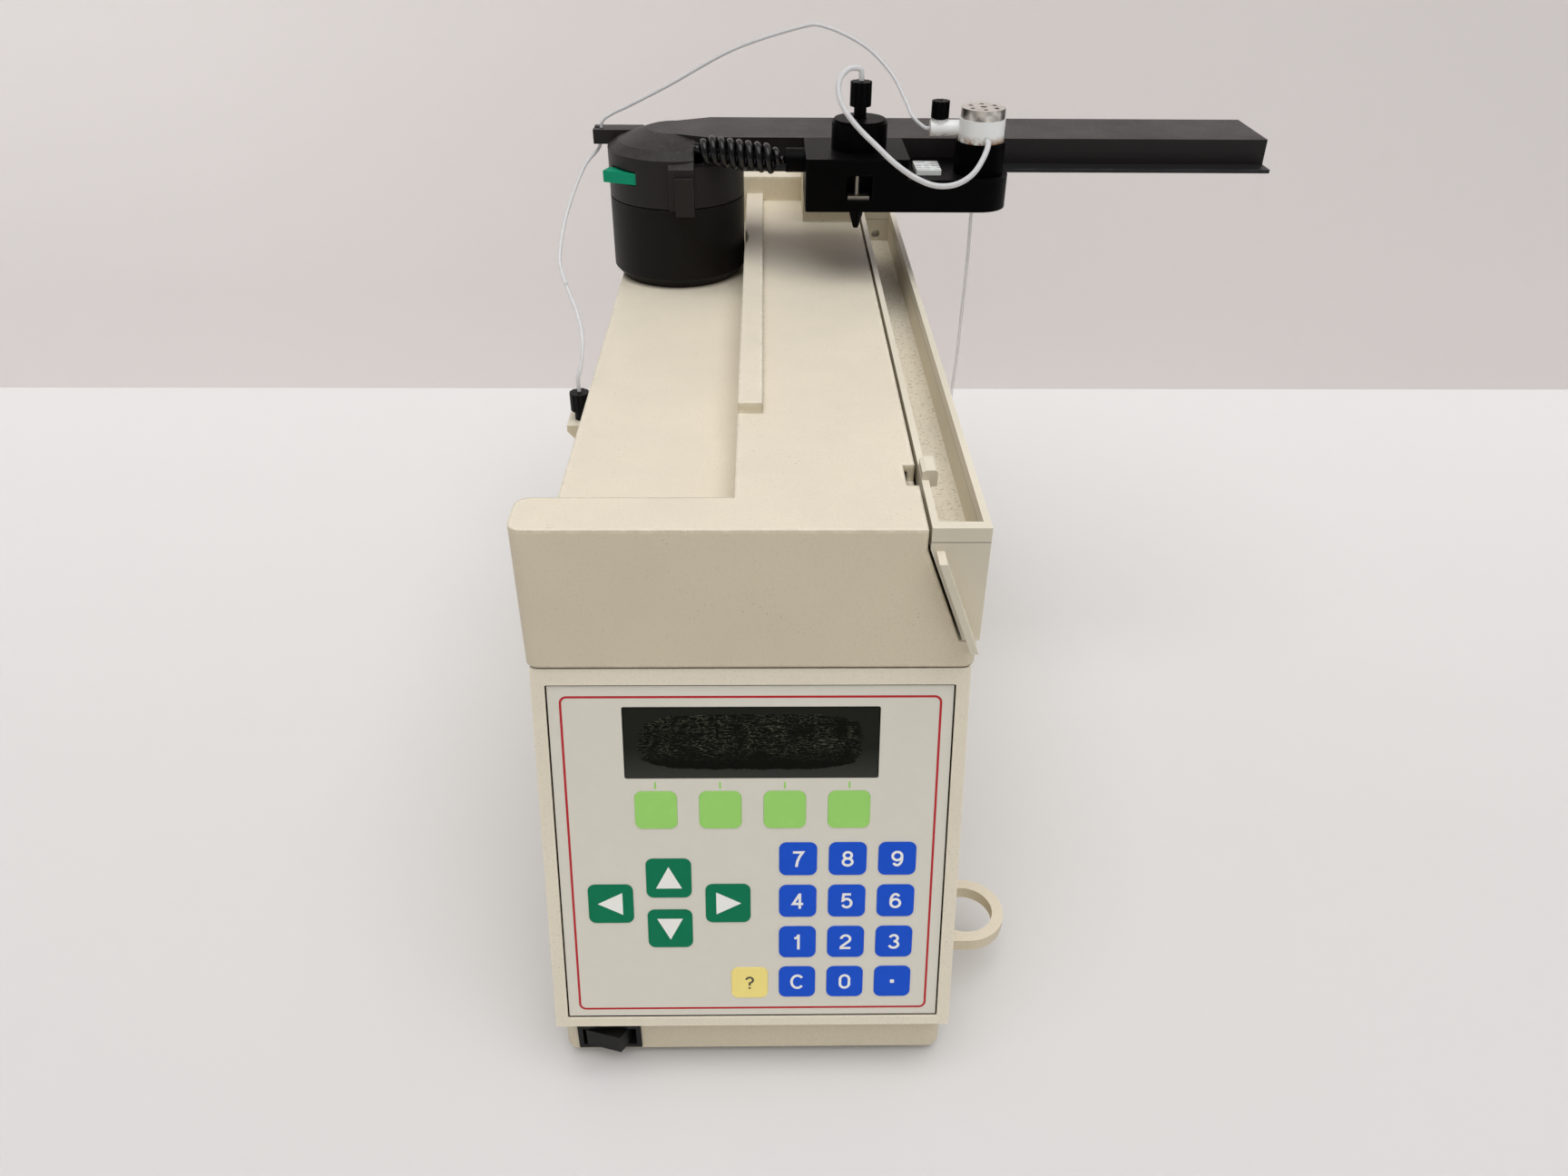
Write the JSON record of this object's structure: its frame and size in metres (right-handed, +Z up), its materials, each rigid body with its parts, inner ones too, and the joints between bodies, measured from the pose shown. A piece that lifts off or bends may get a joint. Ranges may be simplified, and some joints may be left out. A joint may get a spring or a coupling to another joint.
{
  "type": "fraction collector",
  "caption": "Bench fraction collector: cream case with sloping key panel and display, round pedestal, swinging arm with sliding drop-former carriage, diverter valve, drain trough and tubes.",
  "frame": {"origin": "centre of the underside of the front rubber foot, on the bench", "axes": "+Z up, +Y from the key panel to the rear, +X to the right as seen from the front"},
  "size_m": [0.3242, 0.4294, 0.3233],
  "materials": {
    "cream_plastic": "fine-textured cream moulding with small specks",
    "trough_plastic": "smoother pale cream moulding",
    "foot_rubber": "matt black rubber",
    "panel_film": "grey-white printed film with a red border line",
    "display_glass": "dark display window",
    "circuit_board": "green laminate",
    "core_steel": "varnished laminations",
    "black_plastic": "black moulding",
    "dark_plastic": "dark brown-black satin moulding",
    "bright_steel": "bright steel",
    "motor_steel": "painted motor case",
    "alloy": "turned alloy tube",
    "gear_plastic": "natural acetal",
    "pinion_brass": "cut brass",
    "black_metal": "black anodised plate",
    "lever_plastic": "green moulding",
    "nut_plastic": "black and white fittings",
    "white_plastic": "white fluoropolymer",
    "cap_metal": "pressed steel cap",
    "cord_jacket": "glossy black cord jacket",
    "clear_tube": "translucent fluoropolymer tube",
    "soft_key_film": "light green film",
    "arrow_key_film": "dark green film with white arrows",
    "number_key_film": "blue film with white characters",
    "help_key_film": "yellow film with a dark mark"
  },
  "bodies": {
    "root": {"base_pan": "cream_plastic", "rubber_feet": "foot_rubber", "lower_housing": "cream_plastic", "top_cover": "cream_plastic", "side_ring": "cream_plastic", "keypad_overlay": "panel_film", "display_module": "display_glass", "circuit_boards": "circuit_board", "transformer": "core_steel", "power_inlet": "black_plastic", "switch_frame": "black_plastic", "tube_bracket": "cream_plastic", "bracket_nut": "black_plastic", "pedestal": "dark_plastic", "spindle_bearings": "bright_steel", "swing_motor": "motor_steel", "case_screws": "bright_steel"},
    "trough": {"drain_trough": "trough_plastic"},
    "column": {"spindle": "alloy", "swing_gear": "gear_plastic"},
    "pinion": {"motor_pinion": "pinion_brass"},
    "rocker": {"power_rocker": "black_plastic"},
    "arm": {"arm_cover": "dark_plastic", "arm_rail": "black_metal", "slide_motor": "motor_steel", "curly_cord": "cord_jacket", "inlet_tube": "clear_tube"},
    "screw": {"lead_screw": "bright_steel"},
    "lever": {"lock_lever": "lever_plastic"},
    "carriage": {"carriage_body": "dark_plastic", "drop_knob": "dark_plastic", "fitting_nuts": "nut_plastic", "drop_tip": "black_plastic", "valve_coil": "black_plastic", "valve_body": "white_plastic", "valve_cap": "cap_metal", "drop_sensor": "bright_steel", "drop_tube": "clear_tube", "waste_tube": "clear_tube"},
    "b_soft_key_1": {"soft_key_1": "soft_key_film"},
    "b_soft_key_2": {"soft_key_2": "soft_key_film"},
    "b_soft_key_3": {"soft_key_3": "soft_key_film"},
    "b_soft_key_4": {"soft_key_4": "soft_key_film"},
    "b_arrow_key_up": {"arrow_key_up": "arrow_key_film"},
    "b_arrow_key_down": {"arrow_key_down": "arrow_key_film"},
    "b_arrow_key_left": {"arrow_key_left": "arrow_key_film"},
    "b_arrow_key_right": {"arrow_key_right": "arrow_key_film"},
    "b_number_key_7": {"number_key_7": "number_key_film"},
    "b_number_key_8": {"number_key_8": "number_key_film"},
    "b_number_key_9": {"number_key_9": "number_key_film"},
    "b_number_key_4": {"number_key_4": "number_key_film"},
    "b_number_key_5": {"number_key_5": "number_key_film"},
    "b_number_key_6": {"number_key_6": "number_key_film"},
    "b_number_key_1": {"number_key_1": "number_key_film"},
    "b_number_key_2": {"number_key_2": "number_key_film"},
    "b_number_key_3": {"number_key_3": "number_key_film"},
    "b_clear_key": {"clear_key": "number_key_film"},
    "b_number_key_0": {"number_key_0": "number_key_film"},
    "b_point_key": {"point_key": "number_key_film"},
    "b_help_key": {"help_key": "help_key_film"}
  },
  "joints": [
    {"name": "arm_swing", "type": "hinge", "parent": "root", "child": "column", "pos_m": [-0.0375, 0.289, 0.2], "axis": [0, 0, 1], "range_deg": [-80, 5], "deforming": ["inlet_tube", "waste_tube"]},
    {"name": "arm_lift", "type": "slide", "parent": "column", "child": "arm", "axis": [0, 0, 1], "range_m": [0, 0.035], "deforming": ["inlet_tube"]},
    {"name": "carriage_slide", "type": "slide", "parent": "arm", "child": "carriage", "axis": [1, 0, 0], "range_m": [0, 0.125], "deforming": ["inlet_tube", "curly_cord", "waste_tube"]},
    {"name": "lead_screw_spin", "type": "hinge", "parent": "arm", "child": "screw", "pos_m": [0.1, 0.288, 0.2681], "axis": [1, 0, 0], "range_deg": [-10, 3770]},
    {"name": "pinion_spin", "type": "hinge", "parent": "root", "child": "pinion", "pos_m": [-0.02014, 0.26832, 0.17], "axis": [0, 0, 1], "range_deg": [-30, 330]},
    {"name": "lock_lever_turn", "type": "hinge", "parent": "arm", "child": "lever", "pos_m": [-0.0541, 0.2658, 0.2607], "axis": [0, 0, 1], "range_deg": [0, 25]},
    {"name": "power_rocker_tilt", "type": "hinge", "parent": "root", "child": "rocker", "pos_m": [-0.0548, -0.0124, 0.0133], "axis": [0, 0, 1], "range_deg": [-20, 0]},
    {"name": "trough_pull", "type": "slide", "parent": "root", "child": "trough", "axis": [0, -1, 0], "range_m": [0, 0.38]},
    {"name": "soft_key_1_press", "type": "slide", "parent": "root", "child": "b_soft_key_1", "axis": [0, 0.9715, -0.2368], "range_m": [0, 0.0004], "stiffness_N_per_m": 200},
    {"name": "soft_key_2_press", "type": "slide", "parent": "root", "child": "b_soft_key_2", "axis": [0, 0.9715, -0.2368], "range_m": [0, 0.0004], "stiffness_N_per_m": 200},
    {"name": "soft_key_3_press", "type": "slide", "parent": "root", "child": "b_soft_key_3", "axis": [0, 0.9715, -0.2368], "range_m": [0, 0.0004], "stiffness_N_per_m": 200},
    {"name": "soft_key_4_press", "type": "slide", "parent": "root", "child": "b_soft_key_4", "axis": [0, 0.9715, -0.2368], "range_m": [0, 0.0004], "stiffness_N_per_m": 200},
    {"name": "arrow_key_up_press", "type": "slide", "parent": "root", "child": "b_arrow_key_up", "axis": [0, 0.9715, -0.2368], "range_m": [0, 0.0004], "stiffness_N_per_m": 200},
    {"name": "arrow_key_down_press", "type": "slide", "parent": "root", "child": "b_arrow_key_down", "axis": [0, 0.9715, -0.2368], "range_m": [0, 0.0004], "stiffness_N_per_m": 200},
    {"name": "arrow_key_left_press", "type": "slide", "parent": "root", "child": "b_arrow_key_left", "axis": [0, 0.9715, -0.2368], "range_m": [0, 0.0004], "stiffness_N_per_m": 200},
    {"name": "arrow_key_right_press", "type": "slide", "parent": "root", "child": "b_arrow_key_right", "axis": [0, 0.9715, -0.2368], "range_m": [0, 0.0004], "stiffness_N_per_m": 200},
    {"name": "number_key_7_press", "type": "slide", "parent": "root", "child": "b_number_key_7", "axis": [0, 0.9715, -0.2368], "range_m": [0, 0.0004], "stiffness_N_per_m": 200},
    {"name": "number_key_8_press", "type": "slide", "parent": "root", "child": "b_number_key_8", "axis": [0, 0.9715, -0.2368], "range_m": [0, 0.0004], "stiffness_N_per_m": 200},
    {"name": "number_key_9_press", "type": "slide", "parent": "root", "child": "b_number_key_9", "axis": [0, 0.9715, -0.2368], "range_m": [0, 0.0004], "stiffness_N_per_m": 200},
    {"name": "number_key_4_press", "type": "slide", "parent": "root", "child": "b_number_key_4", "axis": [0, 0.9715, -0.2368], "range_m": [0, 0.0004], "stiffness_N_per_m": 200},
    {"name": "number_key_5_press", "type": "slide", "parent": "root", "child": "b_number_key_5", "axis": [0, 0.9715, -0.2368], "range_m": [0, 0.0004], "stiffness_N_per_m": 200},
    {"name": "number_key_6_press", "type": "slide", "parent": "root", "child": "b_number_key_6", "axis": [0, 0.9715, -0.2368], "range_m": [0, 0.0004], "stiffness_N_per_m": 200},
    {"name": "number_key_1_press", "type": "slide", "parent": "root", "child": "b_number_key_1", "axis": [0, 0.9715, -0.2368], "range_m": [0, 0.0004], "stiffness_N_per_m": 200},
    {"name": "number_key_2_press", "type": "slide", "parent": "root", "child": "b_number_key_2", "axis": [0, 0.9715, -0.2368], "range_m": [0, 0.0004], "stiffness_N_per_m": 200},
    {"name": "number_key_3_press", "type": "slide", "parent": "root", "child": "b_number_key_3", "axis": [0, 0.9715, -0.2368], "range_m": [0, 0.0004], "stiffness_N_per_m": 200},
    {"name": "clear_key_press", "type": "slide", "parent": "root", "child": "b_clear_key", "axis": [0, 0.9715, -0.2368], "range_m": [0, 0.0004], "stiffness_N_per_m": 200},
    {"name": "number_key_0_press", "type": "slide", "parent": "root", "child": "b_number_key_0", "axis": [0, 0.9715, -0.2368], "range_m": [0, 0.0004], "stiffness_N_per_m": 200},
    {"name": "point_key_press", "type": "slide", "parent": "root", "child": "b_point_key", "axis": [0, 0.9715, -0.2368], "range_m": [0, 0.0004], "stiffness_N_per_m": 200},
    {"name": "help_key_press", "type": "slide", "parent": "root", "child": "b_help_key", "axis": [0, 0.9715, -0.2368], "range_m": [0, 0.0004], "stiffness_N_per_m": 200}
  ],
  "couplings": [
    {"joint": "lead_screw_spin", "follows": "carriage_slide", "rad_per_m": 523.6},
    {"joint": "pinion_spin", "follows": "arm_swing", "ratio": -4}
  ]
}
